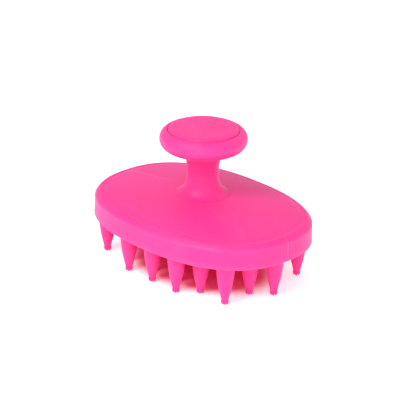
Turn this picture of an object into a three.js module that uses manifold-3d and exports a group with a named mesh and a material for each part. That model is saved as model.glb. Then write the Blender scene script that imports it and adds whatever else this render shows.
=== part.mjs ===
// Scalp massager brush. A domed oval plate carries forty-seven soft fingers below and a
// mushroom knob on a short neck above. Soft silicone skins cover a rigid core.
// Units are millimetres, +Z is up, and the finger tips stand on z = 0 under the neck.
import * as THREE from "three";
import { mergeVertices } from "three/addons/utils/BufferGeometryUtils.js";
import Module from "manifold-3d";

const wasm = await Module();
wasm.setup();

// Driving dimensions.
const PLATE_LENGTH = 95.6;
const PLATE_WIDTH = 68.4;
const OUTLINE_POWER = 2.4; // 2 is a true ellipse, and a higher power is squarer
const FINGER_LENGTH = 16.6;
const RIM_DEPTH = 9.9;
const DOME_RISE = 4.1;
const OVERALL_HEIGHT = 58.6;
const KNOB_RADIUS = 17.6;
const KNOB_THICKNESS = 8.1;
const NECK_WAIST_RADIUS = 6.3;
const NECK_FOOT_RADIUS = 11;
const SKIN = 1.8; // wall of the silicone skin over the plate
const GAP = 0.3; // clearance between neighbouring pieces

// Levels worked out from the driving dimensions.
const UNDERSIDE_Z = FINGER_LENGTH;
const RIM_Z = UNDERSIDE_Z + RIM_DEPTH;
const SEAT_Z = RIM_Z + DOME_RISE;
const CAP_RISE = 0.9; // how far the cap stands over the round of the rim
const KNOB_TOP_Z = OVERALL_HEIGHT - CAP_RISE;
const KNOB_MID_Z = KNOB_TOP_Z - KNOB_THICKNESS / 2;
const KNOB_BOTTOM_Z = KNOB_TOP_Z - KNOB_THICKNESS;
const NECK_TOP_Z = KNOB_BOTTOM_Z - GAP;

// ---------------------------------------------------------------- materials
function silicone() {
  return new THREE.MeshStandardMaterial({ color: 0xf9519c, roughness: 0.6, metalness: 0 });
}

function corePlastic() {
  return new THREE.MeshStandardMaterial({ color: 0xf2e6ea, roughness: 0.5, metalness: 0 });
}

function steel() {
  return new THREE.MeshStandardMaterial({ color: 0xb8babd, roughness: 0.35, metalness: 1 });
}

// ------------------------------------------------------------ shape helpers
// A turned piece: the profile lists [radius, z] pairs, upwards on the outside.
function turned(profile, segments) {
  const points = profile.map(([radius, z]) => new THREE.Vector2(radius, z));
  const geometry = new THREE.LatheGeometry(points, segments);
  geometry.rotateX(Math.PI / 2);
  return geometry;
}

// The same for a ring-shaped section, which ends where it began.
function turnedRing(profile, segments) {
  return turned([...profile, profile[0]], segments);
}

// Points on an arc in the profile plane, from one angle to another in degrees.
function arc(radius, z, size, fromDegrees, toDegrees, steps) {
  const points = [];
  for (let i = 0; i <= steps; i += 1) {
    const angle = THREE.MathUtils.degToRad(fromDegrees + ((toDegrees - fromDegrees) * i) / steps);
    points.push([radius + size * Math.cos(angle), z + size * Math.sin(angle)]);
  }
  return points;
}

// One level of the oval plate, inset from its outline.
const OVAL_SEGMENTS = 64;

function ovalRing(inset, z) {
  const points = [];
  for (let i = 0; i < OVAL_SEGMENTS; i += 1) {
    const angle = (2 * Math.PI * i) / OVAL_SEGMENTS;
    const along = Math.cos(angle);
    const across = Math.sin(angle);
    const x = Math.sign(along) * Math.abs(along) ** (2 / OUTLINE_POWER) * (PLATE_LENGTH / 2 - inset);
    const y = Math.sign(across) * Math.abs(across) ** (2 / OUTLINE_POWER) * (PLATE_WIDTH / 2 - inset);
    points.push(new THREE.Vector3(x, y, z));
  }
  return points;
}

// A round level with its points in the same directions as the oval's.
function roundRing(radius, z) {
  return ovalRing(0, 0).map((point) => point.setLength(radius).setZ(z));
}

// Levels of the domed top: it rises quickly at the rim and flattens towards the neck.
const CREASE_INSET = 2.5;
const SEAT_RADIUS = NECK_FOOT_RADIUS + GAP;
const DOME_STEPS = [0.1, 0.25, 0.5, 0.75, 1];

function domeRings(drop) {
  const edge = ovalRing(CREASE_INSET, 0);
  const seat = roundRing(SEAT_RADIUS, 0);
  return DOME_STEPS.map((step) => {
    const z = RIM_Z + DOME_RISE * step ** 0.65 - drop;
    return edge.map((point, i) => point.clone().lerp(seat[i], step).setZ(z));
  });
}

// Joins levels into a closed body. A ring body ends on its first level, and any other gets
// a flat end across its first and its last level.
function lofted(rings, isRing) {
  const count = rings[0].length;
  const points = rings.flat();
  const triangles = [];
  const bands = isRing ? rings.length : rings.length - 1;
  for (let band = 0; band < bands; band += 1) {
    const low = band * count;
    const high = ((band + 1) % rings.length) * count;
    for (let i = 0; i < count; i += 1) {
      const next = (i + 1) % count;
      triangles.push(low + i, low + next, high + next, low + i, high + next, high + i);
    }
  }
  if (!isRing) {
    const bottom = points.push(new THREE.Vector3(0, 0, rings[0][0].z)) - 1;
    const top = points.push(new THREE.Vector3(0, 0, rings.at(-1)[0].z)) - 1;
    const last = (rings.length - 1) * count;
    for (let i = 0; i < count; i += 1) {
      const next = (i + 1) % count;
      triangles.push(bottom, next, i, top, last + i, last + next);
    }
  }
  const geometry = new THREE.BufferGeometry();
  geometry.setFromPoints(points);
  geometry.setIndex(triangles);
  return geometry;
}

// ---------------------------------------------------------- boolean helpers
function toSolid(geometry) {
  const bare = geometry.clone();
  bare.deleteAttribute("normal");
  bare.deleteAttribute("uv");
  const merged = mergeVertices(bare, 1e-4);
  const vertProperties = new Float32Array(merged.attributes.position.array);
  const triVerts = new Uint32Array(merged.index.array);
  return new wasm.Manifold(new wasm.Mesh({ numProp: 3, vertProperties, triVerts }));
}

function toGeometry(solid) {
  const mesh = solid.getMesh();
  const geometry = new THREE.BufferGeometry();
  geometry.setAttribute("position", new THREE.BufferAttribute(mesh.vertProperties, 3));
  geometry.setIndex(new THREE.BufferAttribute(mesh.triVerts, 1));
  return geometry;
}

// -------------------------------------------------------------- the assembly
const brush = new THREE.Group();

function place(name, geometry, material) {
  const mesh = new THREE.Mesh(geometry, material);
  mesh.name = name;
  brush.add(mesh);
  return mesh;
}

// Levels of the plate's edge from [outwards, z] pairs, measured from the outline.
function edgeRings(pairs) {
  return pairs.map(([outwards, z]) => ovalRing(-outwards, z));
}

// ---------------------------------------------------------------- top cover
// The silicone skin of the plate: a band with a rounded shoulder, and the domed top. It is
// open below, where it stands on the flange of the pad, and the stem of the core comes up
// through its middle.
const FLANGE_THICKNESS = 1.4;
const FLANGE_TOP_Z = UNDERSIDE_Z + FLANGE_THICKNESS;
const SHOULDER_RADIUS = 2.5;
const STEM_RADIUS = 3.6;
const INNER_CORNER = 1.2;
const INNER_CORNER_Z = RIM_Z - SKIN - 1.4;

function topCover() {
  const foot = FLANGE_TOP_Z + GAP;
  const shoulder = arc(-SHOULDER_RADIUS, RIM_Z - SHOULDER_RADIUS, SHOULDER_RADIUS, 0, 90, 3);
  const outside = edgeRings([[0, foot], ...shoulder]);
  const inside = [
    ...domeRings(SKIN).reverse(),
    ovalRing(SKIN + INNER_CORNER, INNER_CORNER_Z + INNER_CORNER),
    ovalRing(SKIN, INNER_CORNER_Z),
    ovalRing(SKIN, foot),
  ];
  const hole = [roundRing(STEM_RADIUS + 0.4, SEAT_Z), roundRing(STEM_RADIUS + 0.4, SEAT_Z - SKIN)];
  return lofted([...outside, ...domeRings(0), ...hole, ...inside], true);
}

place("top_cover", topCover(), silicone());

// ---------------------------------------------------------------- brush pad
// The soft base that holds the fingers. Its flange is the rounded bottom edge of the plate,
// and its upper part plugs into the cover. Each finger's round root sits in a socket.
const PAD_THICKNESS = 3;
const BOTTOM_EDGE_RADIUS = 1.3;
const PAD_INSET = SKIN + GAP;
const ROOT_RADIUS = 3.6; // finger radius where it leaves the pad
const PIVOT_DEPTH = 2.5; // how far the centre that a finger bends about lies under the pad
const BALL_RADIUS = Math.hypot(ROOT_RADIUS, PIVOT_DEPTH);
const PIVOT_Z = UNDERSIDE_Z - PIVOT_DEPTH;
const FINGER_SEGMENTS = 10;

// The fingers stand in staggered rows, listed here from front to back by their number.
const FINGER_PITCH = 13.6;
const ROW_SPACING = 6.72;
const FINGERS_IN_ROW = [3, 6, 5, 6, 7, 6, 5, 6, 3];
const MIDDLE_ROW = (FINGERS_IN_ROW.length - 1) / 2;

const fingers = FINGERS_IN_ROW.flatMap((count, row) =>
  Array.from({ length: count }, (_, i) => ({
    name: `finger_r${row + 1}_${i + 1}`,
    x: (i - (count - 1) / 2) * FINGER_PITCH,
    y: (row - MIDDLE_ROW) * ROW_SPACING,
  })),
);

// A ball about the bending centre as [radius, z] pairs, from an angle off the vertical to
// the pole.
function ballProfile(radius, fromDegrees, steps) {
  return arc(0, 0, radius, 90 - fromDegrees, 90, steps);
}

function brushPad() {
  const edge = arc(-BOTTOM_EDGE_RADIUS, UNDERSIDE_Z + BOTTOM_EDGE_RADIUS, BOTTOM_EDGE_RADIUS, -90, 0, 2);
  const plug = [
    [0, FLANGE_TOP_Z],
    [-PAD_INSET, FLANGE_TOP_Z],
    [-PAD_INSET, UNDERSIDE_Z + PAD_THICKNESS],
  ];
  let pad = toSolid(lofted(edgeRings([...edge, ...plug]), false));
  const facetAllowance = 0.1;
  const profile = [[0, 0], ...ballProfile(BALL_RADIUS + GAP + facetAllowance, 75, 3)];
  const socket = turned(profile, FINGER_SEGMENTS);
  for (const { x, y } of fingers) {
    pad = pad.subtract(toSolid(socket.clone().translate(x, y, PIVOT_Z)));
  }
  return toGeometry(pad);
}

place("brush_pad", brushPad(), silicone());

// ------------------------------------------------------------------ fingers
// Bullet-shaped silicone fingers with a flat tip. Each mesh has its origin at its bending
// centre.
const TIP_RADIUS = 1.45;
const MIDDLE_RADIUS = 2.8;
const MIDDLE_Z = 8.2;

function finger() {
  const rootAngle = THREE.MathUtils.radToDeg(Math.asin(ROOT_RADIUS / BALL_RADIUS));
  const shank = [
    [0, -PIVOT_Z],
    [TIP_RADIUS, -PIVOT_Z],
    [MIDDLE_RADIUS, MIDDLE_Z - PIVOT_Z],
  ];
  return turned([...shank, ...ballProfile(BALL_RADIUS, rootAngle, 2)], FINGER_SEGMENTS);
}

for (const { name, x, y } of fingers) {
  place(name, finger(), silicone()).position.set(x, y, PIVOT_Z);
}

// --------------------------------------------------------------- core plate
// The rigid plate inside the skin. Its underside is cored out between ribs, and its hollow
// stem carries the knob.
const CORE_UNDERSIDE_Z = UNDERSIDE_Z + PAD_THICKNESS + GAP;
const STEM_TOP_Z = 51.4;
const PILOT_RADIUS = 1.7;
const PILOT_BOTTOM_Z = 42;
const RIB_THICKNESS = 1.6;
const RIB_ANGLES = [0, 45, 90, 135];
const HUB_RADIUS = 8;
const POCKET_TOP_Z = 22.4;
const POCKET_INSET = PAD_INSET + 2.5;

function corePocket() {
  const low = CORE_UNDERSIDE_Z - 1;
  let pocket = toSolid(lofted([ovalRing(POCKET_INSET, low), ovalRing(POCKET_INSET, POCKET_TOP_Z)], false));
  const height = 3 * (POCKET_TOP_Z - low);
  const hub = new THREE.CylinderGeometry(HUB_RADIUS, HUB_RADIUS, height, 24);
  pocket = pocket.subtract(toSolid(hub.rotateX(Math.PI / 2).translate(0, 0, low)));
  for (const degrees of RIB_ANGLES) {
    const rib = new THREE.BoxGeometry(PLATE_LENGTH, RIB_THICKNESS, height);
    rib.rotateZ(THREE.MathUtils.degToRad(degrees)).translate(0, 0, low);
    pocket = pocket.subtract(toSolid(rib));
  }
  return pocket;
}

function corePlate() {
  const plate = lofted(
    [
      ovalRing(PAD_INSET, CORE_UNDERSIDE_Z),
      ovalRing(PAD_INSET, INNER_CORNER_Z - GAP),
      ovalRing(PAD_INSET + INNER_CORNER, INNER_CORNER_Z + INNER_CORNER - GAP),
      ...domeRings(SKIN + GAP),
    ],
    false,
  );
  const stem = turned(
    [
      [0, CORE_UNDERSIDE_Z + 1],
      [STEM_RADIUS, CORE_UNDERSIDE_Z + 1],
      [STEM_RADIUS, STEM_TOP_Z],
      [PILOT_RADIUS, STEM_TOP_Z],
      [PILOT_RADIUS, PILOT_BOTTOM_Z],
      [0, PILOT_BOTTOM_Z],
    ],
    20,
  );
  return toGeometry(toSolid(plate).add(toSolid(stem)).subtract(corePocket()));
}

place("core_plate", corePlate(), corePlastic());

// -------------------------------------------------------------- neck sleeve
// The silicone skin of the neck, with a flared foot on the cover and a flared top under
// the knob. It is wider inside at the top, where it takes the socket of the knob core.
const SOCKET_OUTER_RADIUS = 5;
const SOCKET_BOTTOM_Z = 45;

function neckSleeve() {
  const outside = [
    [NECK_FOOT_RADIUS, SEAT_Z + GAP],
    [NECK_FOOT_RADIUS, SEAT_Z + 0.6],
    [9.9, SEAT_Z + 0.9],
    [8.4, SEAT_Z + 2],
    [7.2, SEAT_Z + 3.8],
    [NECK_WAIST_RADIUS + 0.1, SEAT_Z + 6.4],
    [NECK_WAIST_RADIUS, SEAT_Z + 9.4],
    [NECK_WAIST_RADIUS + 0.55, SEAT_Z + 13.4],
    [NECK_WAIST_RADIUS + 1.3, NECK_TOP_Z - 2.6],
    [NECK_WAIST_RADIUS + 2.7, NECK_TOP_Z - 0.8],
    [NECK_FOOT_RADIUS, NECK_TOP_Z],
  ];
  const inside = [
    [SOCKET_OUTER_RADIUS + GAP, NECK_TOP_Z],
    [SOCKET_OUTER_RADIUS + GAP, SOCKET_BOTTOM_Z - GAP],
    [STEM_RADIUS + GAP, SOCKET_BOTTOM_Z - GAP],
    [STEM_RADIUS + GAP, SEAT_Z + GAP],
  ];
  return turnedRing([...outside, ...inside], 24);
}

place("neck_sleeve", neckSleeve(), silicone());

// ---------------------------------------------------------------- knob core
// The rigid insert that gives the knob its shape. Its socket drops over the stem, and the
// screw sits in its counterbore.
const CORE_RADIUS = 12;
const CORE_BOTTOM_Z = KNOB_BOTTOM_Z + 1.4;
const CORE_TOP_Z = KNOB_TOP_Z - 1.9;
const WEB_BOTTOM_Z = STEM_TOP_Z + GAP;
const WEB_TOP_Z = WEB_BOTTOM_Z + 1.5;
const COUNTERBORE_RADIUS = 4.2;

function knobCore() {
  return turnedRing(
    [
      [SOCKET_OUTER_RADIUS, SOCKET_BOTTOM_Z],
      [SOCKET_OUTER_RADIUS, CORE_BOTTOM_Z],
      [CORE_RADIUS, CORE_BOTTOM_Z],
      [CORE_RADIUS, CORE_TOP_Z],
      [COUNTERBORE_RADIUS, CORE_TOP_Z],
      [COUNTERBORE_RADIUS, WEB_TOP_Z],
      [PILOT_RADIUS, WEB_TOP_Z],
      [PILOT_RADIUS, WEB_BOTTOM_Z],
      [STEM_RADIUS + GAP, WEB_BOTTOM_Z],
      [STEM_RADIUS + GAP, SOCKET_BOTTOM_Z],
    ],
    20,
  );
}

place("knob_core", knobCore(), corePlastic());

// ---------------------------------------------------------------- knob skin
// The soft mushroom rim: a silicone cup round the knob core, with a shallow recess in its
// top for the cap. Its crest slopes down inwards to the recess.
const CREST_RADIUS = 15.2;
const RECESS_RADIUS = 14.3;
const RECESS_LIP_Z = KNOB_TOP_Z - 0.9;
const RECESS_FLOOR_Z = KNOB_TOP_Z - 1.7;

function knobSkin() {
  const rimSize = KNOB_THICKNESS / 2;
  const rimCentre = KNOB_RADIUS - rimSize;
  const crestAngle = THREE.MathUtils.radToDeg(Math.acos((CREST_RADIUS - rimCentre) / rimSize));
  const inside = [
    [RECESS_RADIUS, RECESS_LIP_Z],
    [RECESS_RADIUS, RECESS_FLOOR_Z],
    [CORE_RADIUS + GAP, RECESS_FLOOR_Z],
    [CORE_RADIUS + GAP, CORE_BOTTOM_Z - GAP],
    [SOCKET_OUTER_RADIUS + GAP, CORE_BOTTOM_Z - GAP],
    [SOCKET_OUTER_RADIUS + GAP, KNOB_BOTTOM_Z],
  ];
  return turnedRing([...arc(rimCentre, KNOB_MID_Z, rimSize, -90, crestAngle, 8), ...inside], 32);
}

place("knob_skin", knobSkin(), silicone());

// ------------------------------------------------------------ screw and washer
// A pan-head screw clamps the knob core to the stem through a plain washer.
const WASHER_THICKNESS = 0.5;
const WASHER_Z = WEB_TOP_Z + GAP;
const HEAD_Z = WASHER_Z + WASHER_THICKNESS + GAP;

function washer() {
  const top = WASHER_Z + WASHER_THICKNESS;
  return turnedRing(
    [
      [3.8, WASHER_Z],
      [3.8, top],
      [1.7, top],
      [1.7, WASHER_Z],
    ],
    16,
  );
}

function knobScrew() {
  return turned(
    [
      [0, PILOT_BOTTOM_Z + 1],
      [1.4, PILOT_BOTTOM_Z + 1.8],
      [1.4, HEAD_Z],
      [2.8, HEAD_Z],
      [2.8, HEAD_Z + 0.7],
      [2, HEAD_Z + 1.3],
      [0, HEAD_Z + 1.4],
    ],
    16,
  );
}

place("washer", washer(), steel());
place("knob_screw", knobScrew(), steel());

// ----------------------------------------------------------------- knob cap
// The soft inlaid disc that hides the screw. It stands proud of the rim with a full round
// edge, inside a narrow groove.
const CAP_RADIUS = 13.95;
const CAP_BOTTOM_Z = RECESS_FLOOR_Z + GAP;

function knobCap() {
  return turned(
    [
      [0, CAP_BOTTOM_Z],
      [CAP_RADIUS - 0.3, CAP_BOTTOM_Z],
      [CAP_RADIUS, CAP_BOTTOM_Z + 0.3],
      [CAP_RADIUS, RECESS_LIP_Z],
      [CAP_RADIUS - 0.3, KNOB_TOP_Z],
      [CAP_RADIUS - 1, OVERALL_HEIGHT - 0.25],
      [CAP_RADIUS - 2.4, OVERALL_HEIGHT],
      [0, OVERALL_HEIGHT],
    ],
    32,
  );
}

place("knob_cap", knobCap(), silicone());

export default brush;
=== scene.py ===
import math

import bmesh
import bpy
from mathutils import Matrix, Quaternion, Vector


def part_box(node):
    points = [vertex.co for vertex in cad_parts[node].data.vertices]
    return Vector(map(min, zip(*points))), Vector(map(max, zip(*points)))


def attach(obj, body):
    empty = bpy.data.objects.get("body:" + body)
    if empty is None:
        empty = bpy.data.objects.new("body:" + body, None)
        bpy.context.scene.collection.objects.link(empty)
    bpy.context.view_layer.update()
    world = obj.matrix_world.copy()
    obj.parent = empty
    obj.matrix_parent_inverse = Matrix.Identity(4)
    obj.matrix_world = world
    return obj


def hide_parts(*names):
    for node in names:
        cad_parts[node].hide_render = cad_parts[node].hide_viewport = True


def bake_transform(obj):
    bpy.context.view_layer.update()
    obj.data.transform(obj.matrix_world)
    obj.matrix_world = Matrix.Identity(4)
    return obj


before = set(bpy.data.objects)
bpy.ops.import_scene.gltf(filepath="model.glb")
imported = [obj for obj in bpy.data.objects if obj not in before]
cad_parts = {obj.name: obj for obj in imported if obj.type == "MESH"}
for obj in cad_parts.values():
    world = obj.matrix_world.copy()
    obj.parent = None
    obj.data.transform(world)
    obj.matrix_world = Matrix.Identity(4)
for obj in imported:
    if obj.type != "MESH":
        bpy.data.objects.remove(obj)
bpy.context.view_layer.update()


# ================================================================ core plate
# The rigid plate inside the brush, moulded in pale plastic in one piece with its stem.
# It keeps the frame's own shape, and wears the fine spark grain of a hidden moulding.
MM = 0.001


class Wire:
    """A socket in a material. Arithmetic on it adds Math nodes, and node() adds any other."""

    def __init__(self, tree, socket):
        self.tree = tree
        self.socket = socket

    def node(self, kind, settings=None, inputs=None, output=0):
        """A new node of that kind, set up first and then fed. Returns the wire that it gives."""
        made = self.tree.nodes.new("ShaderNode" + kind)
        for name, value in (settings or {}).items():
            setattr(made, name, value)
        for key, value in (inputs or {}).items():
            if isinstance(value, Wire):
                self.tree.links.new(value.socket, made.inputs[key])
            else:
                made.inputs[key].default_value = value
        return Wire(self.tree, made.outputs[output])

    def math(self, operation, first, second=0.0):
        """A Math node on two values."""
        return self.node("Math", {"operation": operation}, {0: first, 1: second})

    def __add__(self, other):
        return self.math("ADD", self, other)

    def __sub__(self, other):
        return self.math("SUBTRACT", self, other)

    def __rsub__(self, other):
        return self.math("SUBTRACT", other, self)

    def __mul__(self, other):
        return self.math("MULTIPLY", self, other)

    __radd__ = __add__
    __rmul__ = __mul__

    def fading(self, start, end):
        """1 where this value is at start, falling smoothly to 0 at end."""
        settings = {"interpolation_type": "SMOOTHSTEP"}
        return self.node("MapRange", settings, {0: self, 1: start, 2: end, 3: 1.0, 4: 0.0})

    def grain(self, scale, detail, roughness=0.5):
        """Noise over these coordinates, with that many lumps to a metre."""
        return self.node("TexNoise", None, {"Vector": self, "Scale": scale, "Detail": detail,
                                            "Roughness": roughness})

    def tint(self, below, above):
        """One colour where this mask is 0, and another where it is 1."""
        return self.node("Mix", {"data_type": "RGBA"}, {0: self, 6: below, 7: above}, output=2)

    def axis(self, index):
        """The x, y or z of these coordinates, as 0, 1 or 2."""
        return self.node("SeparateXYZ", None, {0: self}, output=index)

    def size(self):
        """This value without its sign."""
        return self.math("ABSOLUTE", self)

    def raised(self, distance, strength):
        """A normal for a surface that stands that far out where this value is 1."""
        return self.node("Bump", None, {"Strength": strength, "Distance": distance, "Height": self})


def new_finish(name, **even):
    """A material whose shader has those even values. Returns it, its shader and its coordinates."""
    material = bpy.data.materials.new(name)
    material.use_nodes = True
    tree = material.node_tree
    shader = tree.nodes["Principled BSDF"]
    for key, value in even.items():
        shader.inputs[key.replace("_", " ").title().replace("Ior", "IOR")].default_value = value
    coordinates = tree.nodes.new("ShaderNodeTexCoord")
    return material, shader, Wire(tree, coordinates.outputs["Object"])


def feed(shader, **wires):
    """Links wires to the shader's varying sockets."""
    for key, wire in wires.items():
        wire.tree.links.new(wire.socket, shader.inputs[key.replace("_", " ").title()])


def wear_finish(nodes, material):
    """Puts a finish on the frame's own pieces, in slots linked to each piece rather than its mesh."""
    for name in nodes:
        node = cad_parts[name]
        for holder in node.material_slots:
            holder.link = "OBJECT"
            holder.material = material


def moulded_plastic():
    """Pale plastic with a spark-eroded grain and a faint unevenness of colour."""
    material, shader, place = new_finish("core_plastic", ior=1.49)
    cloud = place.grain(60, 3)
    sparks = place.grain(2600, 3, 0.7)
    feed(shader,
         base_color=cloud.tint((0.86, 0.74, 0.78, 1), (0.93, 0.86, 0.88, 1)),
         roughness=0.42 + 0.2 * sparks,
         normal=sparks.raised(0.04 * MM, 0.35))
    return material


core_plastic = moulded_plastic()
wear_finish(["core_plate"], core_plastic)


# ================================================================= brush pad
# The soft base of the brush, moulded in pink silicone. Its rounded flange is the bottom edge
# of the plate, and its upper part plugs up into the cover.
OUTLINE_POWER = 2.4
EDGE_ROUND = 0.5 * MM
LIP_FLARE = 0.22 * MM
LIP_HEIGHT = 1.5 * MM
FLANGE = 1.4 * MM
PLUG_INSET = 2.1 * MM
PLUG_CORNER = 0.2 * MM
SEAM_CORNER = 0.03 * MM
SEAM_RINGS = [0.03 * MM, 0.1 * MM, 0.3 * MM, 0.6 * MM]
# Strength of the highlight painted paler along the bottom lip.
LIP_HIGHLIGHT = 0.15
PLATE_TURNS = 240
SILICONE_PINK = (0.88, 0.025, 0.262, 1)
SILICONE_PALE = (0.90, 0.036, 0.297, 1)
# Paler pink for real dust and smears, and for highlights painted along some edges.
DUST_AND_HIGHLIGHT_PINK = (0.93, 0.17, 0.45, 1)
pad_low, pad_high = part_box("brush_pad")
underside_z = pad_low.z
flange_z = underside_z + FLANGE


def silicone(name, paler_along=None):
    """Matte pink silicone: faint clouds of colour, a fine moulded grain, soft smears where
    hands have rubbed it and a little dust. It is paler along mould lines and painted highlights."""
    material, shader, place = new_finish(
        name, ior=1.41, specular_ior_level=0.5, subsurface_weight=0.25,
        subsurface_radius=(1.0, 0.2, 0.4), subsurface_scale=2 * MM,
        sheen_weight=0.12, sheen_roughness=0.4)
    cloud = place.grain(38, 3)
    grain = place.grain(1900, 4, 0.65)
    peel = place.grain(260, 2)
    specks = place.grain(3200, 1).fading(0.2, 0.25)
    drawn_out = place.node("Mapping", {"vector_type": "TEXTURE"},
                           {"Vector": place, "Rotation": (0, 0, -0.4), "Scale": (3.2, 0.8, 1)})
    smears = drawn_out.grain(90, 4, 0.6).fading(0.68, 0.52)
    # pale holds real dust and smears; paler_along adds painted highlights, and on the cover the
    # parting line too.
    pale = 0.3 * specks + 0.1 * smears
    if paler_along:
        pale = pale + paler_along(place)
    fresh = (cloud * 1.6 - 0.3).tint(SILICONE_PINK, SILICONE_PALE)
    relief = 0.7 * grain + 0.6 * peel
    feed(shader,
         base_color=pale.tint(fresh, DUST_AND_HIGHLIGHT_PINK),
         roughness=0.38 + 0.16 * grain + 0.08 * cloud + 0.08 * smears,
         normal=relief.raised(0.03 * MM, 0.3))
    return material


def painted_highlight_band(place, middle, reach):
    """A band at that height where a highlight is painted paler, fading out over that reach above and
    below it.
    """
    return (place.axis(2) - middle).size().fading(0, reach)


def painted_lip_highlight(place):
    """A highlight painted paler along the bottom lip of the brush."""
    return LIP_HIGHLIGHT * painted_highlight_band(place, underside_z + 1.0 * MM, 1.6 * MM)


def oval_level(inset, z, turns):
    """One level of the plate's outline at those angles, moved in by inset."""
    level = []
    for angle in turns:
        along, across = math.cos(angle), math.sin(angle)
        x = math.copysign(abs(along) ** (2 / OUTLINE_POWER), along) * (pad_high.x - inset)
        y = math.copysign(abs(across) ** (2 / OUTLINE_POWER), across) * (pad_high.y - inset)
        level.append(Vector((x, y, z)))
    return level


def rounded(out, z, size, start, end, steps):
    """Points (out, z) along an arc about a centre, between two angles in degrees."""
    angles = [math.radians(start + (end - start) * i / steps) for i in range(steps + 1)]
    return [(out + size * math.cos(a), z + size * math.sin(a)) for a in angles]


def skin_over(name, levels, is_ring=False):
    """A piece whose skin joins each level of points to the next. A ring-shaped section closes
    on its first level, and any other has a point in the middle of each end."""
    count = len(levels[0])
    points = [point for level in levels for point in level]
    faces = []
    for lower in range(len(levels) if is_ring else len(levels) - 1):
        upper = (lower + 1) % len(levels)
        for i in range(count):
            j = (i + 1) % count
            faces.append((lower * count + i, lower * count + j, upper * count + j, upper * count + i))
    if not is_ring:
        for level in (0, len(levels) - 1):
            middle = sum(levels[level], Vector()) / count
            points.append(middle)
            faces += [(level * count + i, level * count + (i + 1) % count, len(points) - 1)
                      for i in range(count)]
    mesh = bpy.data.meshes.new(name)
    mesh.from_pydata(points, [], faces)
    shell = bmesh.new()
    shell.from_mesh(mesh)
    bmesh.ops.recalc_face_normals(shell, faces=shell.faces)
    shell.to_mesh(mesh)
    shell.free()
    mesh.shade_smooth()
    piece = bpy.data.objects.new(name, mesh)
    bpy.context.scene.collection.objects.link(piece)
    return piece


def finish_piece(piece, material, node):
    """Gives a piece of the handle or plate its material and its place in the frame."""
    piece.data.materials.append(material)
    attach(piece, "handle_and_plate")
    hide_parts(node)


def evenly(count):
    """That many angles, evenly spaced round a full turn."""
    return [2 * math.pi * i / count for i in range(count)]


def side_out(z):
    """How far out the side of the brush stands at a height: it flares softly to its bottom lip."""
    return -LIP_FLARE * (1 - math.exp((underside_z + EDGE_ROUND - z) / LIP_HEIGHT))


pad_edge = rounded(-EDGE_ROUND, underside_z + EDGE_ROUND, EDGE_ROUND, -90, 0, 9)
pad_edge += [(side_out(flange_z - down), flange_z - down) for down in reversed(SEAM_RINGS)]
pad_profile = [(-inset * MM, underside_z) for inset in (30, 12, 4, 1.6)]
pad_profile += [*pad_edge, (side_out(flange_z) - SEAM_CORNER, flange_z)]
pad_profile += [(-PLUG_INSET + PLUG_CORNER / 2, flange_z), (-PLUG_INSET, flange_z + PLUG_CORNER / 2)]
pad_profile += [(-PLUG_INSET, pad_high.z - PLUG_CORNER), (-PLUG_INSET - PLUG_CORNER, pad_high.z)]
pad_profile += [(-inset * MM, pad_high.z) for inset in (12, 30)]
plate_turns = evenly(PLATE_TURNS)
pad = skin_over("soft_brush_pad", [oval_level(-out, z, plate_turns) for out, z in pad_profile])
finish_piece(pad, silicone("silicone_pad", painted_lip_highlight), "brush_pad")


# =================================================================== fingers
# Forty-seven bullet-shaped silicone fingers, moulded in one with the pad. Each has a small
# fillet at its root and ends in a crown of tiny nubs.
FINGER_TURNS = 40
NUB_COUNT = 5
NUB_CIRCLE = 0.98 * MM
NUB_SIZE = 0.62 * MM
NUB_DROP = 0.9 * MM
TIP_ROUND = 0.35 * MM
BURIED = 0.5 * MM
FINGER_PROFILE = [(1.5, 1.25), (1.5, 1.6), (1.38, 1.95), (1.52, 2.4), (1.98, 4.3), (2.45, 6.2),
                  (2.85, 8.2), (3.35, 11.8), (3.62, 14.6), (3.72, 15.6), (3.86, 16.2), (4.15, 16.58)]


def flowing(points, steps):
    """A smooth curve through the points, as a Catmull-Rom spline."""
    ends = [points[0], *points, points[-1]]
    curve = []
    for a, b, c, d in zip(ends, ends[1:], ends[2:], ends[3:]):
        for i in range(steps):
            t = i / steps
            curve.append(tuple(
                0.5 * (2 * q + (r - p) * t + (2 * p - 5 * q + 4 * r - s) * t * t
                       + (3 * q - p - 3 * r + s) * t ** 3)
                for p, q, r, s in zip(a, b, c, d)))
    return [*curve, points[-1]]


def nub_depth(x, y):
    """How far the crown of nubs hangs below the finger's end there."""
    depth = 0.0
    for i in range(NUB_COUNT):
        angle = 2 * math.pi * (i + 0.25) / NUB_COUNT
        away = math.hypot(x - NUB_CIRCLE * math.cos(angle), y - NUB_CIRCLE * math.sin(angle))
        if away < NUB_SIZE:
            depth = max(depth, NUB_DROP * math.cos(math.pi / 2 * away / NUB_SIZE) ** 0.8)
    return depth


def finger_levels():
    """The levels of a finger about its own axis, from the middle of its tip to its root."""
    turns = evenly(FINGER_TURNS)
    tip_radius = FINGER_PROFILE[0][0] * MM
    flat = [(tip_radius - TIP_ROUND) * i / 10 for i in range(1, 11)]
    end = [(radius, NUB_DROP) for radius in flat]
    end += rounded(tip_radius - TIP_ROUND, NUB_DROP + TIP_ROUND, TIP_ROUND, -67.5, 0, 3)
    shank = [(radius * MM, z * MM) for radius, z in flowing(FINGER_PROFILE, 3)][1:]
    root = [(shank[-1][0], underside_z + BURIED)]
    levels = []
    for radius, z in [*end, *shank, *root]:
        level = []
        for angle in turns:
            x, y = radius * math.cos(angle), radius * math.sin(angle)
            drop = nub_depth(x, y) if z < NUB_DROP + TIP_ROUND else 0.0
            level.append(Vector((x, y, z - drop)))
        levels.append(level)
    return levels


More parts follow.
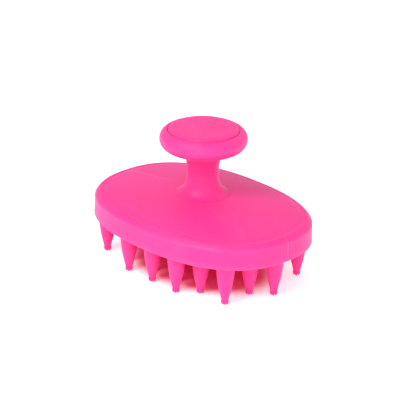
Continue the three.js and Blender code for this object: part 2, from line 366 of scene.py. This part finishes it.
finger_silicone = silicone("silicone_fingers")
finger_pattern = finger_levels()
for node in sorted(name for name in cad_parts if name.startswith("finger_")):
    node_low, node_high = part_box(node)
    axis = Vector(((node_low.x + node_high.x) / 2, (node_low.y + node_high.y) / 2, 0))
    placed = [[axis + point for point in level] for level in finger_pattern]
    finger = skin_over("soft_" + node, placed)
    finger.data.materials.append(finger_silicone)
    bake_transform(finger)
    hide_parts(node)


# ================================================================= top cover
# The silicone skin over the plate: an upright band, a soft bevelled shoulder, and a low dome.
# A fine mould parting line runs along the middle of the dome and down each end.
SKIN = 1.8 * MM
SHOULDER_DEPTH = 2.64 * MM
SHOULDER_TURNS = [(1.4 * MM, 0, 36), (8 * MM, 36, 52), (1.0 * MM, 52, 90)]
SEAM = 0.03 * MM
DOME_RISE = 4.1 * MM
DOME_POWER = 0.75
DOME_HEAD_START = 0.06
CREASE_AT = 0.045
CREASE_SPREAD = 0.035
CREASE_DIP = 0.32 * MM
SEAT_RADIUS = 11.3 * MM
STEM_HOLE = 4.0 * MM
INNER_CORNER = [(1.2 * MM, 0.2 * MM), (0, 1.4 * MM)]
BAND_STEPS = 12
DOME_STEPS = 40
CREST_CROWDING = 1.5
CROWDED_TURNS = [0.0, 0.0022, 0.0045, 0.007, 0.0105, 0.016, 0.024, 0.034, 0.046, 0.06, 0.08]
SPACED_TURNS = 110
# Strength of the highlight painted paler along the lower turn of the shoulder.
SHOULDER_HIGHLIGHT = 0.12
SHOULDER_EDGE_DOWN = 2.1 * MM
SHOULDER_EDGE_REACH = 1.1 * MM
PARTING_WIDTH = 0.28 * MM
PARTING_HEIGHT = 0.04 * MM
cover_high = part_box("top_cover")[1]
rim_z = cover_high.z - DOME_RISE


def parting_turns():
    """Angles round the plate, crowded together where the parting line crosses."""
    last = CROWDED_TURNS[-1]
    spaced = [last + (math.pi - 2 * last) * i / SPACED_TURNS for i in range(1, SPACED_TURNS)]
    half = sorted(set(CROWDED_TURNS + spaced + [math.pi - turn for turn in CROWDED_TURNS[1:]]))
    return half + [math.pi + angle for angle in half]


def shoulder_profile():
    """The shoulder, as arcs that run on from one another up to the crest of the rim."""
    points = [(side_out(rim_z), rim_z - SHOULDER_DEPTH)]
    for size, start, end in SHOULDER_TURNS:
        out, z = points[-1]
        out -= size * math.cos(math.radians(start))
        z -= size * math.sin(math.radians(start))
        points += rounded(out, z, size, start, end, 8)[1:]
    return points


def dome_height(step):
    """How high the dome stands over the rim, a share step of the way in to the neck."""
    start, here, end = ((share + DOME_HEAD_START) ** DOME_POWER for share in (0, step, 1))
    return DOME_RISE * (here - start) / (end - start)


def towards_seat(level, step, z):
    """A level moved a share of the way in to the round seat of the neck."""
    moved = []
    for point in level:
        start = Vector((point.x, point.y))
        here = start.lerp(start.normalized() * SEAT_RADIUS, step)
        moved.append(Vector((here.x, here.y, z)))
    return moved


def round_level(radius, z, pattern):
    """A round level with its points in the same directions as those of another level."""
    flat = [Vector((point.x, point.y, 0)).normalized() * radius for point in pattern]
    return [Vector((point.x, point.y, z)) for point in flat]


cover_turns = parting_turns()
foot_z = flange_z + SEAM
band = [(side_out(foot_z) - SEAM_CORNER, foot_z)]
band += [(side_out(foot_z + up), foot_z + up) for up in SEAM_RINGS[:3]]
for i in range(1, BAND_STEPS):
    z = foot_z + (rim_z - SHOULDER_DEPTH - foot_z) * i / BAND_STEPS
    band.append((side_out(z), z))
band += shoulder_profile()
cover_levels = [oval_level(-out, z, cover_turns) for out, z in band]
crest = cover_levels[-1]
for i in range(1, DOME_STEPS + 1):
    step = (i / DOME_STEPS) ** CREST_CROWDING
    crease = CREASE_DIP * math.exp(-((step - CREASE_AT) / CREASE_SPREAD) ** 2)
    cover_levels.append(towards_seat(crest, step, rim_z + dome_height(step) - crease))
seat = cover_levels[-1]
cover_levels.append(round_level(STEM_HOLE, cover_high.z, seat))
cover_levels.append(round_level(STEM_HOLE, cover_high.z - SKIN, seat))
for step in (1, 0.75, 0.5, 0.25, 0.1):
    cover_levels.append(towards_seat(crest, step, rim_z + dome_height(step) - SKIN))
for further_in, further_down in INNER_CORNER:
    cover_levels.append(oval_level(SKIN + further_in, rim_z - SKIN - further_down, cover_turns))
cover_levels.append(oval_level(SKIN, foot_z, cover_turns))
cover = skin_over("silicone_top_cover", cover_levels, is_ring=True)


def raise_parting_line(piece, reach_in):
    """Lifts the skin along y = 0 into the fine ridge that the mould halves leave."""
    normals = [vertex.normal.copy() for vertex in piece.data.vertices]
    for vertex, normal in zip(piece.data.vertices, normals):
        if abs(vertex.co.y) < 4 * PARTING_WIDTH and abs(vertex.co.x) > reach_in:
            ridge = math.exp(-(vertex.co.y / PARTING_WIDTH) ** 2)
            inward = min(1.0, (pad_high.x - abs(vertex.co.x)) / (2 * MM)) if normal.z > 0.5 else 0.0
            vertex.co += normal * PARTING_HEIGHT * ridge * max(inward, 0.0)


raise_parting_line(cover, SEAT_RADIUS)


def cover_lines(place):
    """Highlights painted paler along the shoulder and the bottom lip of the cover, and the thin
    parting line along y = 0. The line is faint on the dome, plainer on its -X half and down the band,
    and fades out before the neck."""
    along, across, height = (place.axis(index) for index in range(3))
    line = across.size().fading(0.15 * MM, 0.6 * MM)
    towards_end = 1 - along.size().fading(14 * MM, 30 * MM)
    plainer_half = along.fading(-6 * MM, 6 * MM)
    on_band = height.fading(rim_z - 1.2 * MM, rim_z)
    parting = line * towards_end * (0.02 + 0.36 * plainer_half + 0.3 * on_band)
    # A painted highlight along the shoulder, added to the painted highlight along the lip.
    shoulder = SHOULDER_HIGHLIGHT * painted_highlight_band(place, rim_z - SHOULDER_EDGE_DOWN, SHOULDER_EDGE_REACH)
    return parting + painted_lip_highlight(place) + shoulder


finish_piece(cover, silicone("silicone_cover", cover_lines), "top_cover")


# =============================================================== neck sleeve
# The silicone skin of the neck. Its flared foot lies on the dome with a soft raised edge, and
# it flares again to meet the underside of the knob.
NECK_TURNS = 128
NECK_FOOT = [(11.28, 0.02), (11.24, 0.06), (10.95, 0.13), (10.5, 0.27), (9.9, 0.58), (9.1, 1.1),
             (8.3, 1.9), (7.5, 3.1), (6.85, 4.7), (6.45, 6.6), (6.3, 8.8), (6.38, 10.8), (6.62, 12.8)]
NECK_HEAD = [(7.0, -4.0), (7.6, -2.3), (8.5, -1.0), (9.7, -0.25), (10.9, -0.04)]
NECK_BORE = 3.9
NECK_SEAT_GAP = 0.02
SOCKET_BORE = 5.3
SOCKET_DEPTH = 4.6
neck_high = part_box("neck_sleeve")[1]


def turned(name, profile, turns):
    """A round piece from a ring-shaped section of (radius, z) points in millimetres."""
    levels = [[Vector((radius * math.cos(angle), radius * math.sin(angle), z)) * MM
               for angle in evenly(turns)] for radius, z in profile]
    return skin_over(name, levels, is_ring=True)


neck_top = neck_high.z / MM
neck_seat = cover_high.z / MM
neck_outside = [(radius, neck_seat + rise) for radius, rise in NECK_FOOT]
neck_outside += [(radius, neck_top + drop) for radius, drop in NECK_HEAD]
neck_inside = [(SOCKET_BORE, neck_top), (SOCKET_BORE, neck_top - SOCKET_DEPTH),
               (NECK_BORE, neck_top - SOCKET_DEPTH), (NECK_BORE, neck_seat + NECK_SEAT_GAP)]
neck = turned("silicone_neck_sleeve", flowing(neck_outside, 4) + neck_inside, NECK_TURNS)
finish_piece(neck, silicone("silicone_neck"), "neck_sleeve")


# ======================================================= knob core and screw
# The rigid insert of the knob with its socket, and the plated screw and washer that clamp it
# to the stem. They keep the frame's own shapes and lie hidden under the cap.
def plated_steel():
    """Bright zinc over steel, with fine rings from turning."""
    material, shader, place = new_finish("screw_steel", metallic=1.0)
    haze = place.grain(900, 3)
    turning = place.node("TexWave", {"wave_type": "RINGS", "rings_direction": "Z"},
                         {"Vector": place, "Scale": 900, "Distortion": 0.4})
    feed(shader,
         base_color=haze.tint((0.52, 0.53, 0.55, 1), (0.66, 0.66, 0.67, 1)),
         roughness=0.24 + 0.2 * haze,
         normal=turning.raised(0.01 * MM, 0.2))
    return material


wear_finish(["knob_core"], core_plastic)
wear_finish(["knob_screw", "washer"], plated_steel())


# ================================================================= knob skin
# The soft mushroom rim, moulded over the knob core: a full round edge, and a shallow recess
# in its top for the cap.
KNOB_TURNS = 160
RIM_SIZE = 4.05
CREST_RADIUS = 15.0
RECESS_RADIUS = 14.3
RECESS_DEPTH = 1.2
CORE_BORE = 12.3
WEB_THICKNESS = 1.1
# Strength of the highlight painted paler round the fullest part of the knob rim.
RIM_HIGHLIGHT = 0.06
knob_low, knob_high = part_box("knob_skin")
knob_radius = knob_high.x / MM
knob_bottom = knob_low.z / MM


def knob_profile():
    """The section of the skin, from its socket under the knob round the rim to the recess."""
    rim_centre = knob_radius - RIM_SIZE
    middle = knob_bottom + RIM_SIZE
    crest = math.degrees(math.acos((CREST_RADIUS - rim_centre) / RIM_SIZE))
    under = [(radius, knob_bottom) for radius in (SOCKET_BORE, 8, 11)]
    rim = rounded(rim_centre, middle, RIM_SIZE, -90, crest, 28)
    top = rim[-1][1]
    lip = [(CREST_RADIUS - 0.25, top - 0.02), (CREST_RADIUS - 0.45, top - 0.1),
           (RECESS_RADIUS + 0.08, top - 0.25), (RECESS_RADIUS, top - 0.45)]
    floor = top - RECESS_DEPTH
    web = knob_bottom + WEB_THICKNESS
    inside = [(RECESS_RADIUS, floor), (CORE_BORE, floor), (CORE_BORE, web), (SOCKET_BORE, web)]
    return [*under, *rim, *lip, *inside]


def painted_rim_highlight(place):
    """A highlight painted paler round the fullest part of the rim."""
    return RIM_HIGHLIGHT * painted_highlight_band(place, knob_low.z + RIM_SIZE * MM, RIM_SIZE * MM)


knob = turned("silicone_knob_skin", knob_profile(), KNOB_TURNS)
finish_piece(knob, silicone("silicone_knob", painted_rim_highlight), "knob_skin")


# ================================================================== knob cap
# The soft inlaid disc that hides the screw. It stands proud of the rim with a full round
# edge inside a narrow groove, and a plain flower is embossed on it.
CAP_TURNS = 256
EDGE_STEPS = 24
FLAT_STEPS = 52
TOP_FACE_DEPTH = 0.3
CAP_SIDE = 0.3
CAP_OVERHANG = 0.25
CAP_EDGE = (2.8, 1.5)
CAP_SWELL = 2.4
FLOWER_RADIUS = 5.6
FLOWER_HEART = 1.4
FLOWER_LINE = 0.34
FLOWER_RELIEF = 0.17
FLOWER_CENTRE = Vector((3.2, 1.8))
cap_low, cap_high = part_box("knob_cap")


def flower_relief(x, y):
    """Height of the embossed flower there: a line round five petals, and a ring in the middle."""
    dx, dy = x - FLOWER_CENTRE.x, y - FLOWER_CENTRE.y
    away, angle = math.hypot(dx, dy), math.atan2(dy, dx)
    petals = FLOWER_RADIUS * (0.76 + 0.24 * math.cos(5 * angle + 0.9))
    outline = math.exp(-((away - petals) / FLOWER_LINE) ** 2)
    heart = math.exp(-((away - FLOWER_HEART) / FLOWER_LINE) ** 2)
    return FLOWER_RELIEF * max(outline, heart)


def cap_levels():
    """Levels from the hidden foot of the cap, round its full edge and in to the middle."""
    radius = cap_high.x / MM + CAP_OVERHANG
    foot = cap_low.z / MM
    level_top = cap_high.z / MM - FLOWER_RELIEF
    across, down = CAP_EDGE
    profile = [(radius - CAP_SIDE, foot), (radius, foot + CAP_SIDE)]
    for i in range(EDGE_STEPS + 1):
        angle = math.pi / 2 * i / EDGE_STEPS
        profile.append((radius - across + across * math.cos(angle) ** (2 / CAP_SWELL),
                        level_top - down + down * math.sin(angle) ** (2 / CAP_SWELL)))
    flat = radius - across
    profile += [(flat * (1 - i / FLAT_STEPS), level_top) for i in range(1, FLAT_STEPS)]
    levels = []
    for reach, z in profile:
        level = []
        for angle in evenly(CAP_TURNS):
            x, y = reach * math.cos(angle), reach * math.sin(angle)
            relief = flower_relief(x, y) if z > level_top - TOP_FACE_DEPTH else 0.0
            level.append(Vector((x, y, z + relief)) * MM)
        levels.append(level)
    return levels


cap = skin_over("silicone_knob_cap", cap_levels())
finish_piece(cap, silicone("silicone_cap"), "knob_cap")


# ==================================================================== studio
# A white floor that glows with painted light, with painted pink shade under the brush, a soft white
# surround with large lamps over and before the brush, and the camera a little above it, off its front
# right corner.
FLOOR_REACH = 30.0
# The floor glows with painted light that washes out the shadows on it. Under the brush the glow turns
# to a painted deep pink, over a painted shaded colour.
PAINTED_FLOOR_GLOW = 0.5
GLOW_FADE = (0.58, 0.82)
PAINTED_PINK_UNDERGLOW = (0.42, 0.002, 0.03, 1)
SHADED_FLOOR = (0.9, 0.4, 0.55, 1)
TENT_HORIZON = 0.3
TENT_TOP = 1.05
LAMP_AIM = Vector((0, 0, 0.03))
CAMERA_AIM = Vector((-0.00065, -0.00066, 0.0272))
CAMERA_AZIMUTH = math.radians(45.47)
CAMERA_ELEVATION = math.radians(23.04)
CAMERA_ROLL = math.radians(1.17)
CAMERA_DISTANCE = 0.855
CAMERA_LENS = 192.9


def build_floor():
    """A white floor that glows all round with painted light, which washes out the shadows on it.
    Under the brush the glow is a painted deep pink, and its colour is a painted shade."""
    mesh = bpy.data.meshes.new("floor")
    corners = [(x * FLOOR_REACH, y * FLOOR_REACH, 0) for x, y in ((-1, -1), (1, -1), (1, 1), (-1, 1))]
    mesh.from_pydata(corners, [], [(0, 1, 2, 3)])
    floor = bpy.data.objects.new("floor", mesh)
    bpy.context.scene.collection.objects.link(floor)
    material, shader, place = new_finish(
        "white_floor", specular_ior_level=0.1, emission_strength=PAINTED_FLOOR_GLOW)
    cloud = place.grain(3, 2)
    white = cloud.tint((0.92, 0.92, 0.92, 1), (0.94, 0.94, 0.94, 1))
    to_plate_size = (1 / pad_high.x, 1 / pad_high.y, 1)
    scaled = place.node("Mapping", None, {"Vector": place, "Scale": to_plate_size})
    from_middle = place.node("VectorMath", {"operation": "LENGTH"}, {0: scaled}, output=1)
    # under_brush masks the painted pink glow and the painted shade beneath the brush.
    under_brush = from_middle.fading(*GLOW_FADE)
    feed(shader,
         base_color=under_brush.tint(white, SHADED_FLOOR),
         roughness=0.75 + 0.1 * cloud,
         emission_color=under_brush.tint((1, 1, 1, 1), PAINTED_PINK_UNDERGLOW))
    floor.data.materials.append(material)


def build_surround():
    """A white tent of light, dim at the horizon and bright overhead."""
    surround = bpy.data.worlds.new("surround")
    bpy.context.scene.world = surround
    surround.use_nodes = True
    tree = surround.node_tree
    way = Wire(tree, tree.nodes.new("ShaderNodeTexCoord").outputs["Generated"])
    height = way.axis(2)
    strength = TENT_HORIZON + (TENT_TOP - TENT_HORIZON) * height.math("MAXIMUM", height)
    background = tree.nodes["Background"]
    background.inputs["Color"].default_value = (1, 1, 1, 1)
    tree.links.new(strength.socket, background.inputs["Strength"])


def soft_lamp(name, power, width, place):
    """A square softbox of that power and width, turned to the brush."""
    lamp = bpy.data.lights.new(name, "AREA")
    lamp.energy = power
    lamp.size = width
    holder = bpy.data.objects.new(name, lamp)
    bpy.context.scene.collection.objects.link(holder)
    holder.location = place
    holder.rotation_mode = "QUATERNION"
    holder.rotation_quaternion = (LAMP_AIM - Vector(place)).to_track_quat("-Z", "Y")


def build_camera():
    """A long lens that looks down at the brush from its front right corner."""
    outward = math.cos(CAMERA_ELEVATION)
    back = Vector((math.sin(CAMERA_AZIMUTH) * outward, -math.cos(CAMERA_AZIMUTH) * outward,
                   math.sin(CAMERA_ELEVATION)))
    camera = bpy.data.cameras.new("camera")
    camera.sensor_width = 36
    camera.lens = CAMERA_LENS
    camera.clip_start = 0.05
    camera.clip_end = 60
    holder = bpy.data.objects.new("camera", camera)
    bpy.context.scene.collection.objects.link(holder)
    holder.location = CAMERA_AIM + back * CAMERA_DISTANCE
    holder.rotation_mode = "QUATERNION"
    facing = (-back).to_track_quat("-Z", "Y")
    holder.rotation_quaternion = facing @ Quaternion((0, 0, 1), CAMERA_ROLL)
    bpy.context.scene.camera = holder


build_floor()
build_surround()
soft_lamp("key_softbox", power=11.0, width=0.5, place=(0.05, -1.1, 1.05))
soft_lamp("fill_softbox", power=4.0, width=0.8, place=(1.4, -0.4, 0.5))
build_camera()
bpy.context.scene.view_settings.view_transform = "Standard"
